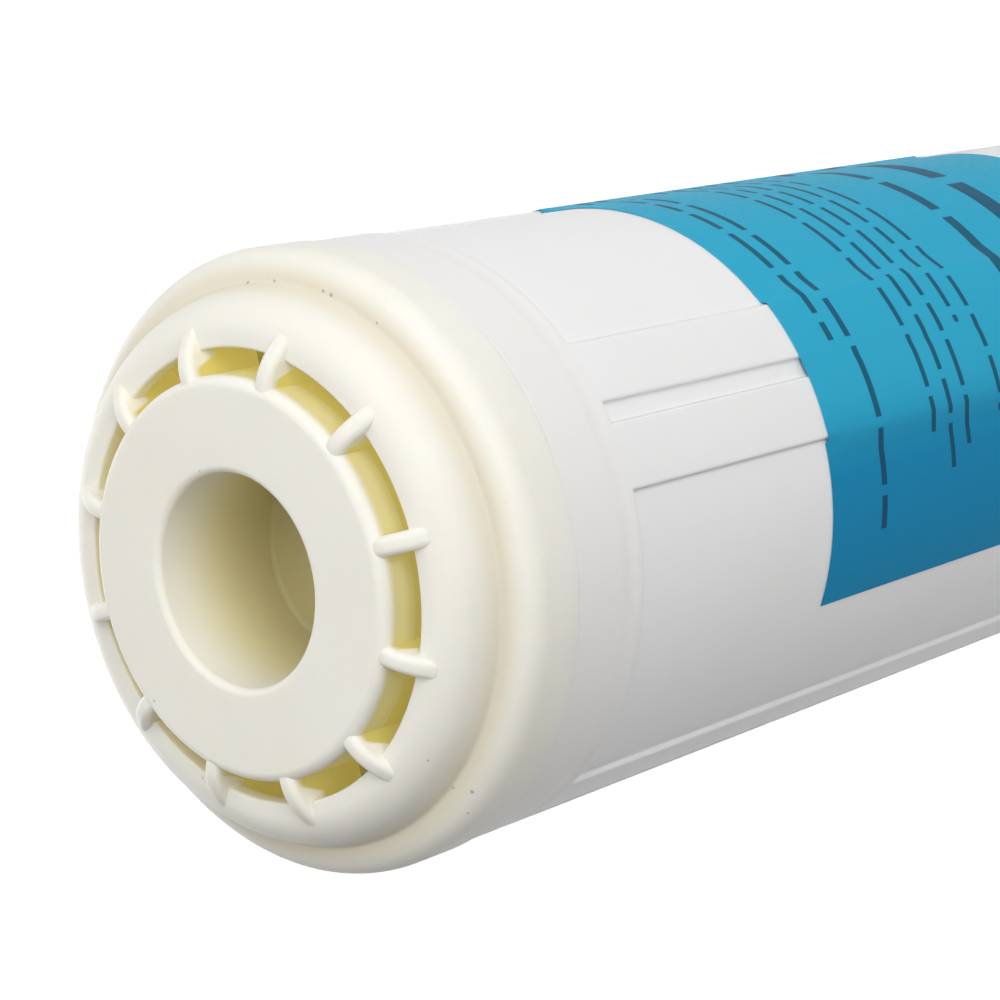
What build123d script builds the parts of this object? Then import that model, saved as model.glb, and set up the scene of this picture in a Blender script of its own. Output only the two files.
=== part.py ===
from build123d import *
from math import cos, degrees, radians, sin
import os

# Granular-media water filter cartridge. Millimetres, axis along Z.
# It stands on its outlet gasket, so the slotted inlet end is at the top.

# Whole cartridge, from the gasket's sealing face to the inlet plate
overall_length = 250.0

# Shell: a tube with a collar at each end and pairs of raised bands flush with the collars
tube_radius = 35.85
tube_wall = 2.4
band_height = 0.65
collar_length = 11.7
band_pairs = 4
band_width = 8.1
band_channel = 2.4
band_turn = 13.3
band_corner = 0.4

# Stepped shoulder that both caps share: a rounded flange over the shell's end, and on it a smaller
# step with a conical wall
flange_overhang = 0.25
flange_ledge = 6.15
step_draft = 2.25
step_height = 5.7
step_edge = 4.4
foot_fillet = 0.3
flange_height = 8.6
flange_edge = 3.3
cap_wall = 2.2
step_wall = 2.0
spigot_length = 8.0
spigot_wall = 2.0
weld_clearance = 0.1

# Inlet cap: centre plate with a blind recess, standing proud of a ring of slots inside the step
land_width = 4.4
slot_width = 2.9
plate_proud = 2.5
plate_edge = 1.2
recess_radius = 12.4
recess_depth = 18.4
recess_mouth = 0.6
recess_wall = 2.0
skirt_wall = 2.0
skirt_depth = 11.0

# Ribs that bridge the slots, from the plate's skirt to a nose on the step's rounded rim
rib_count = 12
rib_width = 2.3
rib_drop = 0.3
rib_crown_drop = 0.25
rib_inset = 1.6
rib_round = 1.0

# Outlet cap: plain plate with the outlet hole and the gasket's seat
outlet_radius = 12.5
gasket_lip = 1.0
gasket_width = 9.5
gasket_thickness = 4.0
seat_depth = 1.6
seat_clearance = 0.1
drain_ribs = 8
drain_rib_width = 1.6

# Felt pads and granules
pad_thickness = 6.0
pad_clearance = 0.2

# Label: a film wrapped over some of the band pairs
label_from_inlet = 66.5
label_height = 89.5
label_pairs = 3
label_lead = 21.0
label_ramp = 5.0
label_thickness = 0.25
label_glue = 0.03

# Heights and radii that follow from the sizes above
tube_bore = tube_radius - tube_wall
collar_radius = tube_radius + band_height
flange_radius = collar_radius + flange_overhang
step_radius = flange_radius - flange_ledge
spigot_radius = tube_bore - weld_clearance
spigot_bore = spigot_radius - spigot_wall
step_bore = step_radius - step_wall
slot_outer_radius = step_radius - land_width
plate_radius = slot_outer_radius - slot_width
shoulder_height = step_height + flange_height
outlet_plate_z = gasket_thickness - seat_depth
outlet_seam_z = outlet_plate_z + shoulder_height
inlet_step_z = overall_length - plate_proud
inlet_seam_z = inlet_step_z - shoulder_height
shell_length = inlet_seam_z - outlet_seam_z
ledge_depth = step_height + cap_wall


def turned(points, radii):
    """A solid of revolution about Z from corner points (radius, height) and their roundings."""
    outline = FilletPolyline(*points, radius=radii, close=True)
    return revolve(Plane.XZ * make_face(outline), Axis.Z)


def around(solid, count):
    """Copies of a solid spaced evenly about Z."""
    return [Rot(0, 0, k * 360.0 / count) * solid for k in range(count)]


def shoulder_corners(face_z, down):
    """Corners and roundings of the shoulder, from its face, over the flange, to the top of the spigot's bore.
    down is -1 where the cap reaches down from its face and +1 where it reaches up."""
    seam_z = face_z + down * shoulder_height
    spigot_end_z = seam_z + down * spigot_length
    flange_z = face_z + down * step_height
    ledge_z = face_z + down * ledge_depth
    return [
        ((step_radius, face_z), step_edge),
        ((step_radius + step_draft, flange_z), foot_fillet),
        ((flange_radius, flange_z), flange_edge),
        ((flange_radius, seam_z), 0),
        ((spigot_radius, seam_z), 0),
        ((spigot_radius, spigot_end_z), 0),
        ((spigot_bore, spigot_end_z), 0),
        ((spigot_bore, ledge_z), 0),
    ]


def turned_from(corners):
    points = [point for point, rounding in corners]
    radii = [rounding for point, rounding in corners]
    return turned(points, radii)


def make_shell():
    section = Circle(tube_radius)
    band_offset = (band_width + band_channel) / 2
    strip = Pos(collar_radius, 0) * Rectangle(2 * collar_radius, band_width)
    for k in range(band_pairs):
        for side in (-1, 1):
            turn = band_turn + k * 360.0 / band_pairs + side * degrees(band_offset / collar_radius)
            section += (Rot(0, 0, turn) * strip) & Circle(collar_radius)
    band_corners = [v for v in section.vertices() if v.center().length > (tube_radius + collar_radius) / 2]
    section = fillet(band_corners, band_corner)
    tube = Pos(0, 0, outlet_seam_z) * extrude(section, shell_length)
    collar = extrude(Circle(collar_radius), collar_length)
    tube += Pos(0, 0, outlet_seam_z) * collar
    tube += Pos(0, 0, inlet_seam_z - collar_length) * collar
    return tube - Pos(0, 0, outlet_seam_z) * extrude(Circle(tube_bore), shell_length)


def make_rib():
    """One rib in the XZ plane: its crown dips from the plate's rim to a nose on the shoulder."""
    inner = plate_radius - skirt_wall / 2
    outer = step_radius - rib_inset
    top = overall_length - rib_drop
    nose = inlet_step_z - rib_round / 2
    foot = overall_length - skirt_depth
    middle = ((inner + outer) / 2, top - rib_crown_drop)
    crown = ThreePointArc((inner, top), middle, (outer, nose))
    sides = Polyline((outer, nose), (outer, foot), (inner, foot), (inner, top))
    blade = extrude(Plane.XZ * make_face(crown + sides), rib_width / 2, both=True)
    return fillet(blade.edges().filter_by(GeomType.CIRCLE), rib_round)


def make_inlet_cap():
    plate_back = overall_length - cap_wall
    skirt_end = overall_length - skirt_depth
    recess_floor = overall_length - recess_depth
    recess_back = recess_floor - recess_wall
    plate = turned_from([
        ((recess_radius, overall_length), recess_mouth),
        ((plate_radius, overall_length), plate_edge),
        ((plate_radius, skirt_end), 0),
        ((plate_radius - skirt_wall, skirt_end), 0),
        ((plate_radius - skirt_wall, plate_back), 0),
        ((recess_radius + recess_wall, plate_back), 0),
        ((recess_radius + recess_wall, recess_back), 0),
        ((0, recess_back), 0),
        ((0, recess_floor), 0),
        ((recess_radius, recess_floor), 0),
    ])
    inner_rim = [((slot_outer_radius, inlet_step_z), 0)]
    inner_back = [
        ((step_bore, inlet_step_z - cap_wall), 0),
        ((slot_outer_radius, inlet_step_z - cap_wall), 0),
    ]
    shoulder = turned_from(inner_rim + shoulder_corners(inlet_step_z, -1) + inner_back)
    return plate + shoulder + around(make_rib(), rib_count)


def make_outlet_cap():
    plate_inside = outlet_plate_z + seat_depth + cap_wall
    seat_z = outlet_plate_z + seat_depth
    lip_radius = outlet_radius + gasket_lip
    seat_radius = lip_radius + gasket_width + 2 * seat_clearance
    face = [
        ((outlet_radius, outlet_plate_z), 0),
        ((lip_radius, outlet_plate_z), 0),
        ((lip_radius, seat_z), 0),
        ((seat_radius, seat_z), 0),
        ((seat_radius, outlet_plate_z), 0),
    ]
    back = [
        ((step_bore, plate_inside), 0),
        ((outlet_radius, plate_inside), 0),
    ]
    cap = turned_from(face + shoulder_corners(outlet_plate_z, 1) + back)
    rib_span = step_bore + cap_wall - lip_radius
    rib_height = outlet_plate_z + ledge_depth - plate_inside
    drain_rib = Pos(lip_radius + rib_span / 2, 0, plate_inside + rib_height / 2) * Box(
        rib_span, drain_rib_width, rib_height)
    return cap + around(drain_rib, drain_ribs)


def make_gasket():
    inner = outlet_radius + gasket_lip + seat_clearance
    outer = inner + gasket_width
    return extrude(Circle(outer) - Circle(inner), gasket_thickness)


def make_pad(bottom_z):
    return Pos(0, 0, bottom_z) * extrude(Circle(spigot_bore - pad_clearance), pad_thickness)


def make_media_bed(bottom_z, top_z):
    """The granules fill the shell between the pads, and the spigots beside them."""
    neck_radius = spigot_bore - pad_clearance
    bed_radius = tube_bore - pad_clearance
    outlet_spigot_end = outlet_seam_z + spigot_length
    inlet_spigot_end = inlet_seam_z - spigot_length
    low_z = max(bottom_z, outlet_spigot_end + pad_clearance)
    high_z = min(top_z, inlet_spigot_end - pad_clearance)
    bed = Pos(0, 0, low_z) * extrude(Circle(bed_radius), high_z - low_z)
    return bed + Pos(0, 0, bottom_z) * extrude(Circle(neck_radius), top_z - bottom_z)


def film_edge(offset):
    """One face of the wrapped film as a row of arcs and ramps, offset outwards from the shell."""
    low = tube_radius + offset
    high = collar_radius + offset
    half_pair = degrees((band_width + band_channel / 2) / collar_radius)
    ramp = degrees(label_ramp / tube_radius)
    lead = degrees(label_lead / tube_radius)
    step = 360.0 / band_pairs
    first = band_turn - step

    def at(radius, angle):
        return (radius * cos(radians(angle)), radius * sin(radians(angle)))

    def arc(radius, start, end):
        return ThreePointArc(at(radius, start), at(radius, (start + end) / 2), at(radius, end))

    edges = []
    here = first - half_pair - lead
    for k in range(label_pairs):
        rise = first + k * step - half_pair
        fall = first + k * step + half_pair
        edges.append(arc(low, here, rise - ramp))
        edges.append(Line(at(low, rise - ramp), at(high, rise)))
        edges.append(arc(high, rise, fall))
        edges.append(Line(at(high, fall), at(low, fall + ramp)))
        here = fall + ramp
    edges.append(arc(low, here, here - ramp + lead))
    return edges


def make_label():
    inside = film_edge(label_glue)
    outside = film_edge(label_glue + label_thickness)
    start = Line(inside[0] @ 0, outside[0] @ 0)
    end = Line(inside[-1] @ 1, outside[-1] @ 1)
    face = make_face(inside + outside + [start, end])
    bottom_z = overall_length - label_from_inlet - label_height
    return Pos(0, 0, bottom_z) * extrude(face, label_height)


outlet_pad_z = outlet_plate_z + ledge_depth
inlet_pad_z = overall_length - recess_depth - recess_wall - pad_thickness

parts = {
    "shell": make_shell(),
    "inlet_cap": make_inlet_cap(),
    "outlet_cap": make_outlet_cap(),
    "outlet_gasket": make_gasket(),
    "inlet_pad": make_pad(inlet_pad_z),
    "outlet_pad": make_pad(outlet_pad_z),
    "media_bed": make_media_bed(outlet_pad_z + pad_thickness, inlet_pad_z),
    "label": make_label(),
}

os.makedirs("parts", exist_ok=True)
for name, solid in parts.items():
    export_step(solid, f"parts/{name}.step")
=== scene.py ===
import math
import bmesh
import bpy
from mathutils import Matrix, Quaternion, Vector


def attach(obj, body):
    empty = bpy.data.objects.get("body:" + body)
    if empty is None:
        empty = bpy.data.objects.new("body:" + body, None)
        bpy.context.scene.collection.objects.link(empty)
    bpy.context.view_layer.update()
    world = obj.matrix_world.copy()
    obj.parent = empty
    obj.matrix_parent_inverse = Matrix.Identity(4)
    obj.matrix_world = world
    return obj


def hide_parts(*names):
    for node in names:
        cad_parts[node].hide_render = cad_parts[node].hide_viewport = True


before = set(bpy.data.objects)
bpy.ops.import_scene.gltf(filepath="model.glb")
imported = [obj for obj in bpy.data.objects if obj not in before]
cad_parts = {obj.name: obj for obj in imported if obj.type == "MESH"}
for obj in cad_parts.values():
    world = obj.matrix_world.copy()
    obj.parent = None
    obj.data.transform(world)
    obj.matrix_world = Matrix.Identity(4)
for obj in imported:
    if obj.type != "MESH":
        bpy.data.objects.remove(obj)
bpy.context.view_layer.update()  # metres; the cartridge stands on its gasket, the slotted end is up
mm = 0.001
weld = 0.000002  # doubles closer than this are one point
print("frame loaded:", len(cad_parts), "nodes")


def clearHand():
    if bpy.context.mode != 'OBJECT':
        bpy.ops.object.mode_set(mode='OBJECT')
    bpy.ops.object.select_all(action='DESELECT')


def grab(piece):
    clearHand()
    piece.select_set(True)
    bpy.context.view_layer.objects.active = piece


def editAll(piece):
    grab(piece)
    bpy.ops.object.mode_set(mode='EDIT')
    bpy.ops.mesh.select_mode(type='VERT')
    bpy.ops.mesh.select_all(action='SELECT')


def pick(kind, test):  # selects points, edges or faces by their place
    bpy.ops.mesh.select_mode(type=kind)
    bpy.ops.mesh.select_all(action='DESELECT')
    data = bpy.context.edit_object.data
    mesh = bmesh.from_edit_mesh(data)
    mesh.normal_update()
    for item in {'VERT': mesh.verts, 'EDGE': mesh.edges, 'FACE': mesh.faces}[kind]:
        if test(item):
            item.select_set(True)
    mesh.select_flush_mode()
    bmesh.update_edit_mesh(data)


def across(point):  # distance from the axis
    return math.hypot(point.x, point.y)


def turnOf(point):  # degrees round the axis
    return math.degrees(math.atan2(point.y, point.x))


def middle(edge):
    return (edge.verts[0].co + edge.verts[1].co) / 2


def cutAt(height):  # flat cut through everything that is open for editing
    bpy.ops.mesh.select_all(action='SELECT')
    bpy.ops.mesh.bisect(plane_co=(0, 0, height * mm), plane_no=(0, 0, 1))


def scaleRound(factor):  # pulls the picked points out from the axis or in to it
    bpy.ops.transform.resize(value=(factor, factor, 1), center_override=(0, 0, 0))


def turnPiece(name, corners, steps, closed=True):  # corners: (radius, height, length cut off both sides) in mm
    clearHand()
    radius, height, rounding = corners[0]
    bpy.ops.mesh.primitive_plane_add(size=mm, location=(radius * mm, 0, height * mm))
    piece = bpy.context.object
    piece.name = name
    bpy.ops.object.transform_apply(location=True, rotation=True, scale=True)
    editAll(piece)
    bpy.ops.mesh.merge(type='CENTER')  # the first corner; the others are pulled out of it
    for here, there in zip(corners, corners[1:]):
        step = ((there[0] - here[0]) * mm, 0, (there[1] - here[1]) * mm)
        bpy.ops.mesh.extrude_vertices_move(TRANSFORM_OT_translate={"value": step})

    def isCorner(point, corner):
        return abs(point.co.x - corner[0] * mm) + abs(point.co.z - corner[1] * mm) < 0.00001

    if closed:
        pick('VERT', lambda v: isCorner(v, corners[0]) or isCorner(v, corners[-1]))
        bpy.ops.mesh.edge_face_add()
    for corner in corners:
        if corner[2]:
            pick('VERT', lambda v: isCorner(v, corner))
            bpy.ops.mesh.bevel(offset=corner[2] * mm, segments=roundSteps(corner[2]), affect='VERTICES')
    bpy.ops.mesh.select_all(action='SELECT')
    bpy.ops.mesh.spin(steps=steps, angle=math.tau, center=(0, 0, 0), axis=(0, 0, 1))
    bpy.ops.mesh.select_all(action='SELECT')
    bpy.ops.mesh.remove_doubles(threshold=weld)
    bpy.ops.mesh.normals_make_consistent(inside=False)
    bpy.ops.object.mode_set(mode='OBJECT')
    return piece


def roundSteps(rounding):
    return 3 if rounding < 0.5 else 5 if rounding < 1.0 else 8 if rounding < 2.0 else 16


def polish(piece, sharpAngle):  # smooth faces with flat faces kept flat
    grab(piece)
    bpy.ops.object.shade_smooth_by_angle(angle=math.radians(sharpAngle))
    soft = piece.modifiers.new("flatShading", 'WEIGHTED_NORMAL')
    soft.keep_sharp = True
    bpy.ops.object.modifier_apply(modifier=soft.name)


def block(name, low, high):  # box between two corners, in mm
    clearHand()
    bpy.ops.mesh.primitive_cube_add(size=1, location=[(a + b) / 2 * mm for a, b in zip(low, high)])
    piece = bpy.context.object
    piece.name = name
    piece.scale = [(b - a) * mm for a, b in zip(low, high)]
    bpy.ops.object.transform_apply(location=True, rotation=True, scale=True)
    return piece


def copyRound(piece, count):  # even copies round the axis, joined to the first
    family = [piece]
    grab(piece)
    for k in range(1, count):
        bpy.ops.object.duplicate(linked=False)
        bpy.ops.transform.rotate(value=math.tau / count, orient_axis='Z', center_override=(0, 0, 0))
        family.append(bpy.context.object)
    for member in family:
        member.select_set(True)
    bpy.ops.object.transform_apply(location=True, rotation=True, scale=True)
    bpy.context.view_layer.objects.active = piece
    bpy.ops.object.join()
    return piece


def fuse(piece, others):  # one moulding out of both
    grab(piece)
    union = piece.modifiers.new("fused", 'BOOLEAN')
    union.operation = 'UNION'
    union.solver = 'EXACT'
    union.object = others
    bpy.ops.object.modifier_apply(modifier=union.name)
    bpy.data.objects.remove(others)


def report(stage, piece):
    piece.data.calc_loop_triangles()
    print(stage, "made:", len(piece.data.loop_triangles), "triangles")


def newFinish(name):
    finish = bpy.data.materials.new(name)
    finish.use_nodes = True
    tree = finish.node_tree
    return finish, tree, tree.nodes["Principled BSDF"]


def node(tree, kind, inputs=None, **settings):
    made = tree.nodes.new(kind)
    for key, value in settings.items():
        setattr(made, key, value)
    for key, value in (inputs or {}).items():
        if isinstance(value, bpy.types.NodeSocket):
            tree.links.new(value, made.inputs[key])
        else:
            made.inputs[key].default_value = value
    return made


def math2(tree, operation, first, second=0.0, third=0.0):
    return node(tree, "ShaderNodeMath", {0: first, 1: second, 2: third}, operation=operation).outputs[0]


def ramp(tree, value, low, high, start=0.0, end=1.0):  # smooth step from start to end
    made = node(tree, "ShaderNodeMapRange",
                {"Value": value, "From Min": low, "From Max": high, "To Min": start, "To Max": end},
                interpolation_type='SMOOTHSTEP')
    return made.outputs["Result"]


def mixColour(tree, factor, first, second):
    made = node(tree, "ShaderNodeMix", data_type='RGBA')
    for socket, value in zip((made.inputs[0], made.inputs[6], made.inputs[7]), (factor, first, second)):
        if isinstance(value, bpy.types.NodeSocket):
            tree.links.new(value, socket)
        elif isinstance(value, float):
            socket.default_value = value
        else:
            socket.default_value = (*value, 1.0)
    return made.outputs[2]


def newGroup(name, inputs, outputs):
    group = bpy.data.node_groups.new(name, "ShaderNodeTree")
    for label, kind, value in inputs:
        socket = group.interface.new_socket(name=label, in_out='INPUT', socket_type=kind)
        if value is not None:
            socket.default_value = value
    for label, kind in outputs:
        group.interface.new_socket(name=label, in_out='OUTPUT', socket_type=kind)
    return group, group.nodes.new("NodeGroupInput"), group.nodes.new("NodeGroupOutput")


def useGroup(tree, group, inputs):
    return node(tree, "ShaderNodeGroup", inputs, node_tree=group)


def place(tree):  # Object coordinates, the distance from the axis and the height, in metres
    spot = node(tree, "ShaderNodeTexCoord").outputs["Object"]
    parts = node(tree, "ShaderNodeSeparateXYZ", {0: spot}).outputs
    squares = math2(tree, 'ADD', math2(tree, 'MULTIPLY', parts[0], parts[0]),
                    math2(tree, 'MULTIPLY', parts[1], parts[1]))
    return spot, parts, math2(tree, 'SQRT', squares), parts[2]


def makeMouldGrain():  # faint clouds and fine skin of moulded plastic
    group, given, result = newGroup(
        "mouldGrain",
        [("Vector", "NodeSocketVector", None), ("Cloud Scale", "NodeSocketFloat", 60.0),
         ("Skin Scale", "NodeSocketFloat", 1800.0)],
        [("Cloud", "NodeSocketFloat"), ("Skin", "NodeSocketFloat")])
    cloud = node(group, "ShaderNodeTexNoise",
                 {"Vector": given.outputs[0], "Scale": given.outputs[1], "Detail": 3.0, "Roughness": 0.55})
    skin = node(group, "ShaderNodeTexNoise",
                {"Vector": given.outputs[0], "Scale": given.outputs[2], "Detail": 2.0, "Roughness": 0.5})
    group.links.new(ramp(group, cloud.outputs[0], 0.3, 0.7), result.inputs[0])
    group.links.new(skin.outputs[0], result.inputs[1])
    return group


def makeDustSpecks():  # a few tiny dark specks
    group, given, result = newGroup(
        "dustSpecks",
        [("Vector", "NodeSocketVector", None), ("Scale", "NodeSocketFloat", 120.0),
         ("Size", "NodeSocketFloat", 0.02), ("Share", "NodeSocketFloat", 0.05)],
        [("Mask", "NodeSocketFloat")])
    cell = node(group, "ShaderNodeTexVoronoi", {"Vector": given.outputs[0], "Scale": given.outputs[1]})
    chance = node(group, "ShaderNodeSeparateColor", {0: cell.outputs["Color"]}).outputs[0]
    near = math2(group, 'LESS_THAN', cell.outputs["Distance"], given.outputs[2])
    kept = math2(group, 'LESS_THAN', chance, given.outputs[3])
    group.links.new(math2(group, 'MULTIPLY', near, kept), result.inputs[0])
    return group


mouldGrain = makeMouldGrain()
dustSpecks = makeDustSpecks()
print("shared shader groups made")


shoulder = {
    "stepRadius": 30.6, "stepDraft": 2.25, "stepHeight": 5.7, "stepRound": 2.97, "footRound": 0.3,
    "flangeRadius": 36.75, "flangeHeight": 8.6, "flangeRound": 3.3, "seamRound": 0.25,
    "spigotRadius": 33.35, "spigotBore": 31.35, "spigotLength": 8.0, "wall": 2.2, "stepBore": 28.6,
    "steps": 240,
}


def shoulderCorners(faceZ, down):  # from the face over the flange to the top of the spigot's bore
    s = shoulder
    flangeZ = faceZ + down * s["stepHeight"]
    seamZ = flangeZ + down * s["flangeHeight"]
    spigotZ = seamZ + down * s["spigotLength"]
    ledgeZ = flangeZ + down * s["wall"]
    return [
        (s["stepRadius"], faceZ, s["stepRound"]),
        (s["stepRadius"] + s["stepDraft"], flangeZ, s["footRound"]),
        (s["flangeRadius"], flangeZ, s["flangeRound"]),
        (s["flangeRadius"], seamZ, s["seamRound"]),
        (s["spigotRadius"], seamZ, 0),
        (s["spigotRadius"], spigotZ, 0.4),
        (s["spigotBore"], spigotZ, 0.4),
        (s["spigotBore"], ledgeZ, 0),
    ]


inletCap = {
    "plateZ": 250.0, "stepZ": 247.5, "plateRadius": 23.3, "plateRound": 1.3,
    "recessRadius": 12.4, "recessFloorZ": 231.6, "mouthRound": 0.9, "recessWall": 2.0,
    "skirtWall": 2.0, "skirtEndZ": 239.0, "slotOuterRadius": 26.2, "slotRound": 0.35,
    "ribs": 12, "ribInner": 22.3, "ribOuter": 28.9, "ribWidth": 2.3, "ribTopZ": 249.7,
    "ribRise": 0.21, "ribFall": 0.0855, "ribRound": 0.85, "ribCuts": 14,
    # dark specks of dirt: radius, turn, height, size
    "specks": [(22.6, 113.5, 249.8, 0.2), (21.56, 122.1, 250.0, 0.2), (13.02, 4.4, 249.9, 0.16),
               (35.0, -144.8, 241.4, 0.3), (33.5, -44.9, 241.8, 0.2), (30.79, -140.8, 246.17, 0.2),
               (33.4, -30.2, 241.8, 0.25), (33.36, -32.4, 241.8, 0.3), (33.1, -17.1, 241.85, 0.25),
               (32.85, -9.8, 241.9, 0.3), (35.88, -149.7, 240.72, 0.18), (26.93, 143.4, 247.5, 0.16),
               (33.08, -147.2, 241.86, 0.2)],
    "ivory": (0.87, 0.855, 0.785), "ivoryCloud": (0.845, 0.825, 0.745),
    # the glow, deep and well colours here are painted light and shade in the slots and the recess; the groove colour
    # is painted shade with some grime
    "glow": (1.0, 0.83, 0.21), "paintedGlowStrength": 0.2, "deep": (0.42, 0.365, 0.11), "well": (0.77, 0.71, 0.42), "dirt": (0.16, 0.13, 0.09),
    "wellFloorShade": (0.64, 0.58, 0.33), "grooveShadeAndGrime": (0.77, 0.72, 0.59),
}


def makeInletCap():
    c = inletCap
    plateBack = c["plateZ"] - shoulder["wall"]
    recessBack = c["recessFloorZ"] - c["recessWall"]
    skirtInner = c["plateRadius"] - c["skirtWall"]
    well = c["recessRadius"] + c["recessWall"]
    plate = turnPiece("inletPlate", [
        (0, c["recessFloorZ"], 0),
        (c["recessRadius"], c["recessFloorZ"], 0.6),
        (c["recessRadius"], c["plateZ"], c["mouthRound"]),
        (c["plateRadius"], c["plateZ"], c["plateRound"]),
        (c["plateRadius"], c["skirtEndZ"], 0.4),
        (skirtInner, c["skirtEndZ"], 0.4),
        (skirtInner, plateBack, 0.4),
        (well, plateBack, 0.4),
        (well, recessBack, 0.4),
        (0, recessBack, 0),
    ], shoulder["steps"], closed=False)
    ring = turnPiece("inletCap", [
        (c["slotOuterRadius"], c["stepZ"], c["slotRound"]),
        *shoulderCorners(c["stepZ"], -1),
        (shoulder["stepBore"], c["stepZ"] - shoulder["wall"], 0.4),
        (c["slotOuterRadius"], c["stepZ"] - shoulder["wall"], 0.3),
    ], shoulder["steps"])
    ribs = makeRibs()
    grab(plate)
    ring.select_set(True)
    bpy.context.view_layer.objects.active = ring
    bpy.ops.object.join()
    fuse(ring, ribs)
    polish(ring, 38)
    report("inlet cap", ring)
    return ring


def makeRibs():  # one blade, shaped and then copied round the axis
    c = inletCap
    length = c["ribOuter"] - c["ribInner"]
    depth = c["ribTopZ"] - c["skirtEndZ"]
    blade = block("rib", (c["ribInner"], -c["ribWidth"] / 2, c["skirtEndZ"]),
                  (c["ribOuter"], c["ribWidth"] / 2, c["ribTopZ"]))
    editAll(blade)
    for k in range(1, c["ribCuts"]):
        bpy.ops.mesh.select_all(action='SELECT')
        bpy.ops.mesh.bisect(plane_co=((c["ribInner"] + length * k / c["ribCuts"]) * mm, 0, 0), plane_no=(1, 0, 0))
    for k in range(c["ribCuts"] + 1):  # the crown dips to a nose on the rounded rim
        out = length * k / c["ribCuts"]
        at = (c["ribInner"] + out) * mm
        pick('VERT', lambda v: abs(v.co.x - at) < 0.00001 and v.co.z > (c["ribTopZ"] - 0.01) * mm)
        rise = (c["ribRise"] * out - c["ribFall"] * out ** 2) * mm
        bpy.ops.transform.translate(value=(0, 0, rise))
    topZ = (c["skirtEndZ"] + depth / 2) * mm
    pick('EDGE', lambda e: middle(e).z > topZ and abs(e.verts[0].co.y - e.verts[1].co.y) < 0.00001
         and abs(e.verts[0].co.x - e.verts[1].co.x) > 0.0001)
    bpy.ops.mesh.bevel(offset=c["ribRound"] * mm, segments=6, affect='EDGES')
    return copyRound(blade, c["ribs"])


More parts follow.
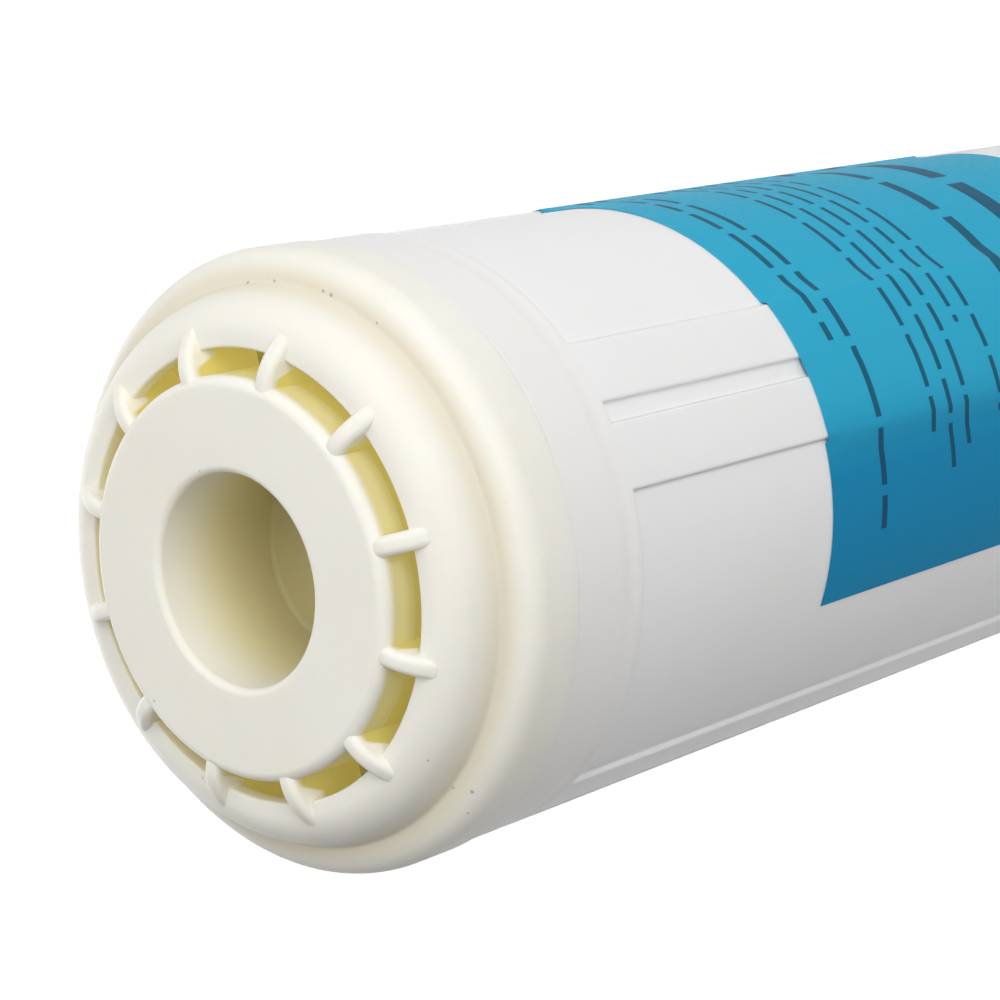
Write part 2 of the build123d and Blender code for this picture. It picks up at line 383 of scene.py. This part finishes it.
def makeIvory():
    c = inletCap
    finish, tree, skin = newFinish("ivoryPlastic")
    spot, parts, radius, height = place(tree)
    grain = useGroup(tree, mouldGrain, {"Vector": spot, "Cloud Scale": 45.0, "Skin Scale": 1500.0})
    dust = useGroup(tree, dustSpecks, {"Vector": spot, "Scale": 130.0, "Size": 0.018, "Share": 0.06})
    colour = mixColour(tree, grain.outputs["Cloud"], c["ivory"], c["ivoryCloud"])
    # painted light and shade: the slots and the recess are tinted yellow-olive, and the slots glow, standing in for
    # light that comes through the plastic
    slotPaintedLightMask = math2(tree, 'MULTIPLY', ramp(tree, radius, 0.0231, 0.0234), ramp(tree, radius, 0.0268, 0.0263))
    slotTop = ramp(tree, radius, 0.0240, 0.0258, 0.2486, 0.2454)  # higher on the skirt than on the step's rim
    below = math2(tree, 'SUBTRACT', slotTop, height)
    slotPaintedLightMask = math2(tree, 'MULTIPLY', slotPaintedLightMask, ramp(tree, below, -0.0005, 0.0007))
    under = math2(tree, 'MULTIPLY', ramp(tree, height, 0.2456, 0.2450), ramp(tree, radius, 0.0298, 0.0294))
    lower = math2(tree, 'MULTIPLY', ramp(tree, height, 0.2392, 0.2384), ramp(tree, radius, 0.0322, 0.0316))
    under = math2(tree, 'MULTIPLY', math2(tree, 'MAXIMUM', under, lower), ramp(tree, radius, 0.0128, 0.0132))
    under = math2(tree, 'MULTIPLY', under, ramp(tree, height, 0.2190, 0.2200))  # only at the inlet end
    slotPaintedLightMask = math2(tree, 'MAXIMUM', slotPaintedLightMask, under)
    # painted shade down the recess: yellow-olive, darker towards its floor
    wellShadeMask = math2(tree, 'MULTIPLY', ramp(tree, radius, 0.0129, 0.0124), ramp(tree, height, 0.2495, 0.2380))
    colour = mixColour(tree, wellShadeMask, colour, c["well"])
    wellDeepShadeMask = math2(tree, 'MULTIPLY', wellShadeMask, ramp(tree, height, 0.2430, 0.2320))
    colour = mixColour(tree, wellDeepShadeMask, colour, c["wellFloorShade"])
    # painted shade in the slots: a dark olive base colour under the slot mask
    colour = mixColour(tree, slotPaintedLightMask, colour, c["deep"])
    # painted shade, with some grime, in the groove between step and flange: a beige tint
    grooveShadeAndGrimeMask = math2(tree, 'MULTIPLY', ramp(tree, radius, 0.0316, 0.0328), ramp(tree, radius, 0.0360, 0.0334))
    grooveShadeAndGrimeMask = math2(tree, 'MULTIPLY', grooveShadeAndGrimeMask, ramp(tree, height, 0.2400, 0.2414))
    colour = mixColour(tree, grooveShadeAndGrimeMask, colour, c["grooveShadeAndGrime"])
    marks = dust.outputs["Mask"]
    for r, turn, z, size in c["specks"]:
        at = (r * math.cos(math.radians(turn)) * mm, r * math.sin(math.radians(turn)) * mm, z * mm)
        away = node(tree, "ShaderNodeVectorMath", {0: spot, 1: at}, operation='DISTANCE').outputs["Value"]
        marks = math2(tree, 'MAXIMUM', marks, ramp(tree, away, size * mm, size * 0.55 * mm))
    colour = mixColour(tree, math2(tree, 'MULTIPLY', marks, 0.5), colour, c["dirt"])
    tree.links.new(colour, skin.inputs["Base Color"])
    tree.links.new(mixColour(tree, slotPaintedLightMask, (0.0, 0.0, 0.0), c["glow"]), skin.inputs["Emission Color"])
    # the painted glow is stronger on the side that the lamps stand over
    paintedGlowSide = ramp(tree, parts[0], -0.027, 0.027, 1.0, 1.5)
    tree.links.new(math2(tree, 'MULTIPLY', paintedGlowSide, c["paintedGlowStrength"]), skin.inputs["Emission Strength"])
    tree.links.new(ramp(tree, grain.outputs["Skin"], 0.25, 0.75, 0.42, 0.52), skin.inputs["Roughness"])
    bump = node(tree, "ShaderNodeBump", {"Height": grain.outputs["Skin"], "Strength": 0.05, "Distance": 0.0002})
    tree.links.new(bump.outputs[0], skin.inputs["Normal"])
    skin.inputs["Subsurface Weight"].default_value = 0.35
    skin.inputs["Subsurface Radius"].default_value = (1.0, 0.8, 0.35)
    skin.inputs["Subsurface Scale"].default_value = 0.002
    skin.inputs["Specular IOR Level"].default_value = 0.2
    return finish


shell = {
    "tubeRadius": 35.85, "raise": 0.65, "bore": 33.45, "lowZ": 16.7, "highZ": 233.2, "collar": 11.7,
    "columns": 372, "pairs": 4, "pairTurn": 13.3, "channelColumns": 2, "bandColumns": 15,
    "edgeRound": 0.4, "seamRound": 0.1,
    # dip round each collar, by distance from its inner end
    "dip": [(1.0, 0.0), (1.6, 0.08), (2.3, 0.16), (3.1, 0.08), (4.0, 0.0)],
    "serrationFrom": 4.6, "serrationTo": 10.9, "serrationRunOut": 0.5, "serrationDepth": 0.05, "serrationColumns": 2,
    "white": (0.85, 0.85, 0.848), "whiteCloud": (0.83, 0.83, 0.825), "collarTint": (0.835, 0.82, 0.80),
    "dirt": (0.25, 0.24, 0.22),
}


def columnFrom(point, turn):  # how many columns a point stands away from a turn, at its nearest pair
    period = 360.0 / shell["pairs"]
    off = (turnOf(point) - turn + period / 2) % period - period / 2
    return abs(off) * shell["columns"] / 360.0


def makeShell():
    s = shell
    length = s["highZ"] - s["lowZ"]
    clearHand()
    bpy.ops.mesh.primitive_cylinder_add(
        vertices=s["columns"], radius=s["tubeRadius"] * mm, depth=length * mm, end_fill_type='NOTHING',
        location=(0, 0, (s["lowZ"] + length / 2) * mm), rotation=(0, 0, math.radians(s["pairTurn"])))
    tube = bpy.context.object
    tube.name = "shellTube"
    bpy.ops.object.transform_apply(location=True, rotation=True, scale=True)
    editAll(tube)
    rows = (s["serrationFrom"], s["serrationFrom"] + s["serrationRunOut"],
            s["serrationTo"] - s["serrationRunOut"], s["serrationTo"])
    for off in (0, *[away for away, deep in s["dip"]], *rows):
        cutAt(s["highZ"] - s["collar"] + off)
        cutAt(s["lowZ"] + s["collar"] - off)
    highCollar = (s["highZ"] - s["collar"]) * mm
    lowCollar = (s["lowZ"] + s["collar"]) * mm

    def onCollar(point):
        return point.z > highCollar or point.z < lowCollar

    def isRaised(face):
        at = face.calc_center_median()
        column = columnFrom(at, s["pairTurn"])
        return onCollar(at) or s["channelColumns"] < column < s["bandColumns"]

    pick('FACE', isRaised)
    bpy.ops.mesh.extrude_region_move()  # collars and bands come up together
    scaleRound((s["tubeRadius"] + s["raise"]) / s["tubeRadius"])
    foot = (s["tubeRadius"] - 0.05) * mm
    ends = (s["lowZ"] * mm, s["highZ"] * mm)

    def atEnd(point):
        return min(abs(point.z - z) for z in ends) < 0.00001

    pick('EDGE', lambda e: len(e.link_faces) == 1)
    bpy.ops.mesh.extrude_region_move()  # end faces run in to the bore
    scaleRound(s["bore"] / s["tubeRadius"])
    bpy.ops.mesh.bridge_edge_loops()
    bpy.ops.mesh.select_all(action='SELECT')
    bpy.ops.mesh.normals_make_consistent(inside=False)
    pick('EDGE', lambda e: across(middle(e)) > foot and len(e.link_faces) == 2
         and e.calc_face_angle() > math.radians(40) and not atEnd(middle(e)))
    bpy.ops.mesh.bevel(offset=s["edgeRound"] * mm, segments=4, affect='EDGES')
    top = (s["tubeRadius"] + s["raise"] - 0.05) * mm
    pick('EDGE', lambda e: across(middle(e)) > top and atEnd(middle(e)))
    bpy.ops.mesh.bevel(offset=s["seamRound"] * mm, segments=3, affect='EDGES')

    def onRow(v, off):
        return across(v.co) > top and min(abs(v.co.z - highCollar - off * mm),
                                          abs(v.co.z - lowCollar + off * mm)) < 0.00001

    def inSerration(v):
        column = round((turnOf(v.co) - s["pairTurn"]) * s["columns"] / 360.0)
        return column % s["serrationColumns"] == 0 and (onRow(v, rows[1]) or onRow(v, rows[2]))

    for away, deep in s["dip"]:
        pick('VERT', lambda v: deep and onRow(v, away))
        scaleRound(1 - deep / (s["tubeRadius"] + s["raise"]))
    pick('VERT', inSerration)
    scaleRound(1 - s["serrationDepth"] / (s["tubeRadius"] + s["raise"]))
    bpy.ops.object.mode_set(mode='OBJECT')
    polish(tube, 38)
    report("shell", tube)
    return tube


def makeWhite():
    s = shell
    finish, tree, skin = newFinish("whitePlastic")
    spot, parts, radius, height = place(tree)
    grain = useGroup(tree, mouldGrain, {"Vector": spot, "Cloud Scale": 35.0, "Skin Scale": 1300.0})
    dust = useGroup(tree, dustSpecks, {"Vector": spot, "Scale": 90.0, "Size": 0.012, "Share": 0.05})
    colour = mixColour(tree, grain.outputs["Cloud"], s["white"], s["whiteCloud"])
    onCollar = math2(tree, 'MAXIMUM', ramp(tree, height, 0.2217, 0.2223), ramp(tree, height, 0.0282, 0.0276))
    colour = mixColour(tree, onCollar, colour, s["collarTint"])
    colour = mixColour(tree, math2(tree, 'MULTIPLY', dust.outputs["Mask"], 0.5), colour, s["dirt"])
    tree.links.new(colour, skin.inputs["Base Color"])
    tree.links.new(ramp(tree, grain.outputs["Skin"], 0.25, 0.75, 0.36, 0.46), skin.inputs["Roughness"])
    bump = node(tree, "ShaderNodeBump", {"Height": grain.outputs["Skin"], "Strength": 0.04, "Distance": 0.0002})
    tree.links.new(bump.outputs[0], skin.inputs["Normal"])
    skin.inputs["Subsurface Weight"].default_value = 0.12
    skin.inputs["Subsurface Radius"].default_value = (1.0, 0.95, 0.85)
    skin.inputs["Subsurface Scale"].default_value = 0.001
    skin.inputs["Specular IOR Level"].default_value = 0.2
    return finish


label = {
    "lowZ": 94.0, "highZ": 183.5, "halfColumns": 143, "glue": 0.03, "film": 0.12, "tentColumns": 5, "tentCurve": 1.25,
    "sag": 0.08, "rows": 48, "wave": 0.05, "waveSize": 24.0,
    # the second blue is painted shade towards the film's two ends round the tube
    "blue": (0.034, 0.40, 0.61), "blueInShade": (0.013, 0.245, 0.465), "shadeFrom": 96.0, "shadeTo": 114.0,
    "ink": (0.012, 0.04, 0.085),
    # rows of plain bars: distance below the label's top edge, bar height, mean bar length, first and last turn
    "bars": [(7.6, 1.2, 8.0, -73.0, 20.0), (11.3, 1.2, 8.0, -113.0, 20.0), (23.5, 1.0, 7.0, -97.5, 20.0),
             (27.5, 1.0, 7.0, -106.0, 20.0), (31.5, 1.0, 7.0, -100.0, 20.0), (35.7, 1.0, 7.0, -75.0, 20.0),
             (39.8, 1.0, 7.0, -95.0, 20.0), (53.0, 2.4, 15.0, -78.0, 20.0), (66.0, 4.2, 24.0, -62.0, 20.0)],
    "barGap": 1.1, "inkShare": 0.8,
}


def makeLabel():
    s, f = shell, label
    height = f["highZ"] - f["lowZ"]
    base = s["tubeRadius"] + f["glue"]
    clearHand()
    bpy.ops.mesh.primitive_cylinder_add(
        vertices=s["columns"], radius=base * mm, depth=height * mm, end_fill_type='NOTHING',
        location=(0, 0, (f["lowZ"] + height / 2) * mm), rotation=(0, 0, math.radians(s["pairTurn"])))
    film = bpy.context.object
    film.name = "labelFilm"
    bpy.ops.object.transform_apply(location=True, rotation=True, scale=True)
    editAll(film)

    def columnsAway(point):
        off = (turnOf(point) - s["pairTurn"] + 180) % 360 - 180
        return abs(off) * s["columns"] / 360.0

    pick('FACE', lambda p: columnsAway(p.calc_center_median()) > f["halfColumns"])
    bpy.ops.mesh.delete(type='FACE')
    pick('EDGE', lambda e: abs(e.verts[0].co.z - e.verts[1].co.z) > 0.001)
    bpy.ops.mesh.subdivide(number_cuts=f["rows"] - 1)
    onBand = s["tubeRadius"] + s["raise"] + f["glue"]
    for away in range(s["bandColumns"] + f["tentColumns"]):  # the film leaves each band in a low tent
        left = 1 - max(0, away - s["bandColumns"]) / f["tentColumns"]
        rise = base + (onBand - base) * left ** f["tentCurve"]
        if away < s["channelColumns"]:  # the film sags a little over the channel
            rise -= f["sag"] * (1 - away / s["channelColumns"])
        pick('VERT', lambda v: abs(columnFrom(v.co, s["pairTurn"]) - away) < 0.3
             and columnsAway(v.co) < f["halfColumns"] - 1)
        scaleRound(rise / base)
        if away > s["bandColumns"]:  # its glued edges stay down on the tube
            pick('VERT', lambda v: abs(columnFrom(v.co, s["pairTurn"]) - away) < 0.3
                 and columnsAway(v.co) < f["halfColumns"] - 1
                 and min(v.co.z - f["lowZ"] * mm, f["highZ"] * mm - v.co.z) < 0.1 * mm)
            scaleRound(base / rise)
    bpy.ops.object.mode_set(mode='OBJECT')
    waves = bpy.data.textures.new("filmWaves", 'CLOUDS')
    waves.noise_scale = f["waveSize"] * mm
    lift = film.modifiers.new("filmWaves", 'DISPLACE')
    lift.texture = waves
    lift.texture_coords = 'LOCAL'
    lift.mid_level = 0.0
    lift.strength = f["wave"] * mm
    thick = film.modifiers.new("filmThickness", 'SOLIDIFY')
    thick.thickness = f["film"] * mm
    thick.offset = 1.0
    grab(film)
    for modifier in (lift.name, thick.name):
        bpy.ops.object.modifier_apply(modifier=modifier)
    polish(film, 60)
    report("label", film)
    return film


def makeBlueFilm():
    f = label
    finish, tree, skin = newFinish("blueFilm")
    spot, parts, radius, height = place(tree)
    grain = useGroup(tree, mouldGrain, {"Vector": spot, "Cloud Scale": 50.0, "Skin Scale": 900.0})
    turn = math2(tree, 'ARCTAN2', parts[1], parts[0])
    fromMiddle = math2(tree, 'ABSOLUTE', math2(tree, 'SUBTRACT', turn, math.radians(shell["pairTurn"])))
    # painted shade: the blue darkens towards the film's two ends round the tube
    ends = ramp(tree, fromMiddle, math.radians(f["shadeFrom"]), math.radians(f["shadeTo"]))
    colour = mixColour(tree, ends, f["blue"], f["blueInShade"])
    ink = None
    for k, (drop, tall, long, first, last) in enumerate(f["bars"]):
        row = (f["highZ"] - drop) * mm
        off = math2(tree, 'ABSOLUTE', math2(tree, 'SUBTRACT', height, row))
        bar = ramp(tree, off, tall * 0.5 * mm + 0.00008, tall * 0.5 * mm - 0.00008)
        reach = math2(tree, 'MULTIPLY', ramp(tree, turn, math.radians(first), math.radians(first + 0.3)),
                      ramp(tree, turn, math.radians(last), math.radians(last - 0.3)))
        along = math2(tree, 'MULTIPLY_ADD', turn, 36.5 / long, 23.7 * k + 40.3)
        gaps = node(tree, "ShaderNodeTexVoronoi", {"W": along, "Scale": 1.0, "Randomness": 0.85},
                    voronoi_dimensions='1D', feature='DISTANCE_TO_EDGE').outputs["Distance"]
        gap = f["barGap"] * tall ** 0.5 / long / 2
        bar = math2(tree, 'MULTIPLY', math2(tree, 'MULTIPLY', bar, reach), ramp(tree, gaps, gap, gap * 1.3))
        ink = bar if ink is None else math2(tree, 'MAXIMUM', ink, bar)
    colour = mixColour(tree, math2(tree, 'MULTIPLY', ink, f["inkShare"]), colour, f["ink"])
    tree.links.new(colour, skin.inputs["Base Color"])
    tree.links.new(ramp(tree, grain.outputs["Skin"], 0.25, 0.75, 0.40, 0.52), skin.inputs["Roughness"])
    bump = node(tree, "ShaderNodeBump", {"Height": grain.outputs["Skin"], "Strength": 0.06, "Distance": 0.0002})
    tree.links.new(bump.outputs[0], skin.inputs["Normal"])
    skin.inputs["Specular IOR Level"].default_value = 0.02
    return finish


outletCap = {
    "plateZ": 2.4, "seatZ": 4.0, "holeRadius": 12.5, "lipRadius": 13.5, "seatRadius": 23.2, "plateBackZ": 6.2,
    "drainRibs": 8, "drainInner": 13.5, "drainOuter": 30.8, "drainWidth": 1.6, "drainTopZ": 10.3,
    "gasketInner": 13.6, "gasketOuter": 23.1, "gasketHigh": 4.0, "gasketRound": 0.4,
    "rubber": (0.028, 0.028, 0.030), "rubberBloom": (0.06, 0.06, 0.062),
}


def makeOutletCap():
    c = outletCap
    cap = turnPiece("outletCap", [
        (c["holeRadius"], c["plateZ"], 0.3),
        (c["lipRadius"], c["plateZ"], 0.3),
        (c["lipRadius"], c["seatZ"], 0),
        (c["seatRadius"], c["seatZ"], 0),
        (c["seatRadius"], c["plateZ"], 0.3),
        *shoulderCorners(c["plateZ"], 1),
        (shoulder["stepBore"], c["plateBackZ"], 0.4),
        (c["holeRadius"], c["plateBackZ"], 0.4),
    ], shoulder["steps"])
    half = c["drainWidth"] / 2
    rib = block("drainRib", (c["drainInner"], -half, c["plateBackZ"] - 1), (c["drainOuter"], half, c["drainTopZ"]))
    fuse(cap, copyRound(rib, c["drainRibs"]))
    polish(cap, 38)
    report("outlet cap", cap)
    return cap


def makeGasket():
    c = outletCap
    ring = turnPiece("outletGasket", [
        (c["gasketInner"], 0, c["gasketRound"]),
        (c["gasketOuter"], 0, c["gasketRound"]),
        (c["gasketOuter"], c["gasketHigh"], c["gasketRound"]),
        (c["gasketInner"], c["gasketHigh"], c["gasketRound"]),
    ], 160)
    polish(ring, 50)
    report("gasket", ring)
    return ring


def makeRubber():
    c = outletCap
    finish, tree, skin = newFinish("blackRubber")
    spot, parts, radius, height = place(tree)
    grain = useGroup(tree, mouldGrain, {"Vector": spot, "Cloud Scale": 160.0, "Skin Scale": 2200.0})
    colour = mixColour(tree, grain.outputs["Cloud"], c["rubber"], c["rubberBloom"])
    tree.links.new(colour, skin.inputs["Base Color"])
    tree.links.new(ramp(tree, grain.outputs["Cloud"], 0.0, 1.0, 0.62, 0.8), skin.inputs["Roughness"])
    bump = node(tree, "ShaderNodeBump", {"Height": grain.outputs["Skin"], "Strength": 0.15, "Distance": 0.0002})
    tree.links.new(bump.outputs[0], skin.inputs["Normal"])
    return finish


inside = {
    "felt": (0.80, 0.76, 0.62), "feltShade": (0.62, 0.57, 0.42),
    "granule": (0.035, 0.034, 0.033), "granuleFace": (0.10, 0.095, 0.09),
}


def makeFelt():
    finish, tree, skin = newFinish("needledFelt")
    spot, parts, radius, height = place(tree)
    flat = node(tree, "ShaderNodeMapping", {"Vector": spot, "Scale": (1.0, 1.0, 0.3)}).outputs[0]
    hairs = node(tree, "ShaderNodeTexNoise", {"Vector": flat, "Scale": 900.0, "Detail": 5.0, "Distortion": 1.6})
    tufts = node(tree, "ShaderNodeTexNoise", {"Vector": flat, "Scale": 220.0, "Detail": 2.0})
    blend = math2(tree, 'MULTIPLY', ramp(tree, hairs.outputs[0], 0.35, 0.65), ramp(tree, tufts.outputs[0], 0.2, 0.7))
    tree.links.new(mixColour(tree, blend, inside["feltShade"], inside["felt"]), skin.inputs["Base Color"])
    skin.inputs["Roughness"].default_value = 0.95
    skin.inputs["Sheen Weight"].default_value = 0.3
    bump = node(tree, "ShaderNodeBump", {"Height": hairs.outputs[0], "Strength": 0.6, "Distance": 0.0004})
    tree.links.new(bump.outputs[0], skin.inputs["Normal"])
    return finish


def makeGranules():
    finish, tree, skin = newFinish("packedGranules")
    spot, parts, radius, height = place(tree)
    grains = node(tree, "ShaderNodeTexVoronoi", {"Vector": spot, "Scale": 700.0, "Randomness": 0.9})
    shade = node(tree, "ShaderNodeSeparateColor", {0: grains.outputs["Color"]}).outputs[1]
    tree.links.new(mixColour(tree, shade, inside["granule"], inside["granuleFace"]), skin.inputs["Base Color"])
    tree.links.new(ramp(tree, shade, 0.0, 1.0, 0.45, 0.85), skin.inputs["Roughness"])
    bump = node(tree, "ShaderNodeBump", {"Height": grains.outputs["Distance"], "Strength": 0.8, "Distance": 0.0006},
                invert=True)
    tree.links.new(bump.outputs[0], skin.inputs["Normal"])
    return finish


def settle(piece, finish, slot, *nodes):
    piece.data.materials.clear()
    piece.data.materials.append(finish)
    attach(piece, "root")
    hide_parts(*nodes)


ivory = makeIvory()
settle(makeInletCap(), ivory, "cap_plastic", "inlet_cap")
settle(makeOutletCap(), ivory, "cap_plastic", "outlet_cap")
settle(makeShell(), makeWhite(), "shell_plastic", "shell")
settle(makeLabel(), makeBlueFilm(), "label_film", "label")
settle(makeGasket(), makeRubber(), "gasket_rubber", "outlet_gasket")

felt = makeFelt()
for name, finish in (("inlet_pad", felt), ("outlet_pad", felt), ("media_bed", makeGranules())):
    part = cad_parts[name]
    part.data.materials.clear()
    part.data.materials.append(finish)
print("pieces settled on the frame")


studio = {
    "floorSize": 6.0, "floorColour": (0.80, 0.80, 0.80), "floorGlow": 0.95, "floorShade": 0.22,
    "fill": (0.97, 0.985, 1.0), "fillStrength": 0.01,
    "aim": (0.0, 0.0, 0.235),
    # softboxes: name, direction they shine from, distance, size, power
    "lamps": [("keySoftbox", (0.65, -0.4, 0.65), 0.6, 0.4, 0.8), ("backSoftbox", (0.65, 0.4, 0.65), 0.6, 0.4, 0.45),
              ("topSoftbox", (1.0, 0.0, 0.15), 0.6, 0.6, 0.65), ("frontSoftbox", (0.0, 0.0, 1.0), 0.6, 0.6, 0.2),
              ("leftSoftbox", (0.0, 0.45, 0.9), 0.5, 0.4, 0.5), ("viewSoftbox", (0.2, -0.8, 0.5), 0.75, 0.7, 4.5),
              ("lowSoftbox", (-0.8, 0.1, 0.55), 0.7, 0.6, 0.5), ("rearSoftbox", (0.05, 1.0, -0.12), 0.75, 0.7, 3.0)],
}
camera = {
    "at": (4.627, -234.631, 460.573), "aim": (1.414, 0.019, 203.438),  # mm
    "roll": -104.46, "lens": 100.495, "sensor": 36.0,
}


def makeFloor():
    s = studio
    clearHand()
    bpy.ops.mesh.primitive_plane_add(size=s["floorSize"])
    floor = bpy.context.object
    floor.name = "paleFloor"
    finish = bpy.data.materials.new("paleFloor")
    finish.use_nodes = True
    tree = finish.node_tree
    tree.nodes.clear()
    rays = node(tree, "ShaderNodeLightPath").outputs
    seen = math2(tree, 'MAXIMUM', math2(tree, 'MAXIMUM', rays["Is Camera Ray"], rays["Is Glossy Ray"]),
                 rays["Is Transmission Ray"])
    paint = node(tree, "ShaderNodeBsdfDiffuse", {"Color": (*s["floorColour"], 1.0)}).outputs[0]
    shade = node(tree, "ShaderNodeBsdfDiffuse", {"Color": (s["floorShade"],) * 3 + (1.0,)}).outputs[0]
    glow = node(tree, "ShaderNodeEmission", {"Strength": s["floorGlow"]}).outputs[0]
    white = node(tree, "ShaderNodeAddShader", {0: shade, 1: glow}).outputs[0]
    mixed = node(tree, "ShaderNodeMixShader", {0: seen, 1: paint, 2: white}).outputs[0]
    node(tree, "ShaderNodeOutputMaterial", {"Surface": mixed})
    floor.data.materials.append(finish)


def makeLight():
    s = studio
    world = bpy.data.worlds.new("studio")
    world.use_nodes = True
    tree = world.node_tree
    tree.nodes.clear()
    rays = node(tree, "ShaderNodeLightPath").outputs
    seen = math2(tree, 'MAXIMUM', math2(tree, 'MAXIMUM', rays["Is Camera Ray"], rays["Is Glossy Ray"]),
                 rays["Is Transmission Ray"])
    fill = node(tree, "ShaderNodeBackground", {"Color": (*s["fill"], 1.0), "Strength": s["fillStrength"]}).outputs[0]
    white = node(tree, "ShaderNodeBackground", {"Color": (1.0, 1.0, 1.0, 1.0), "Strength": 1.0}).outputs[0]
    mixed = node(tree, "ShaderNodeMixShader", {0: seen, 1: fill, 2: white}).outputs[0]
    node(tree, "ShaderNodeOutputWorld", {"Surface": mixed})
    bpy.context.scene.world = world
    aim = Vector(s["aim"])
    for name, shineFrom, distance, size, power in s["lamps"]:
        away = Vector(shineFrom).normalized() * distance
        clearHand()
        bpy.ops.object.light_add(type='AREA', location=aim + away)
        lamp = bpy.context.object
        lamp.name = name
        lamp.rotation_euler = (-away).to_track_quat('-Z', 'Y').to_euler()
        lamp.data.shape = 'DISK'
        lamp.data.size = size
        lamp.data.energy = power


def makeCamera():
    c = camera
    at, aim = Vector(c["at"]) * mm, Vector(c["aim"]) * mm
    clearHand()
    bpy.ops.object.camera_add(location=at)
    view = bpy.context.object
    view.name = "photoView"
    level = (aim - at).to_track_quat('-Z', 'Y')
    view.rotation_euler = (level @ Quaternion((0, 0, 1), math.radians(c["roll"]))).to_euler()
    view.data.lens = c["lens"]
    view.data.sensor_width = c["sensor"]
    view.data.sensor_fit = 'HORIZONTAL'
    view.data.clip_start = 0.01
    view.data.clip_end = 20.0
    bpy.context.scene.camera = view


makeFloor()
makeLight()
makeCamera()
bpy.context.scene.view_settings.view_transform = 'Standard'
print("studio set")
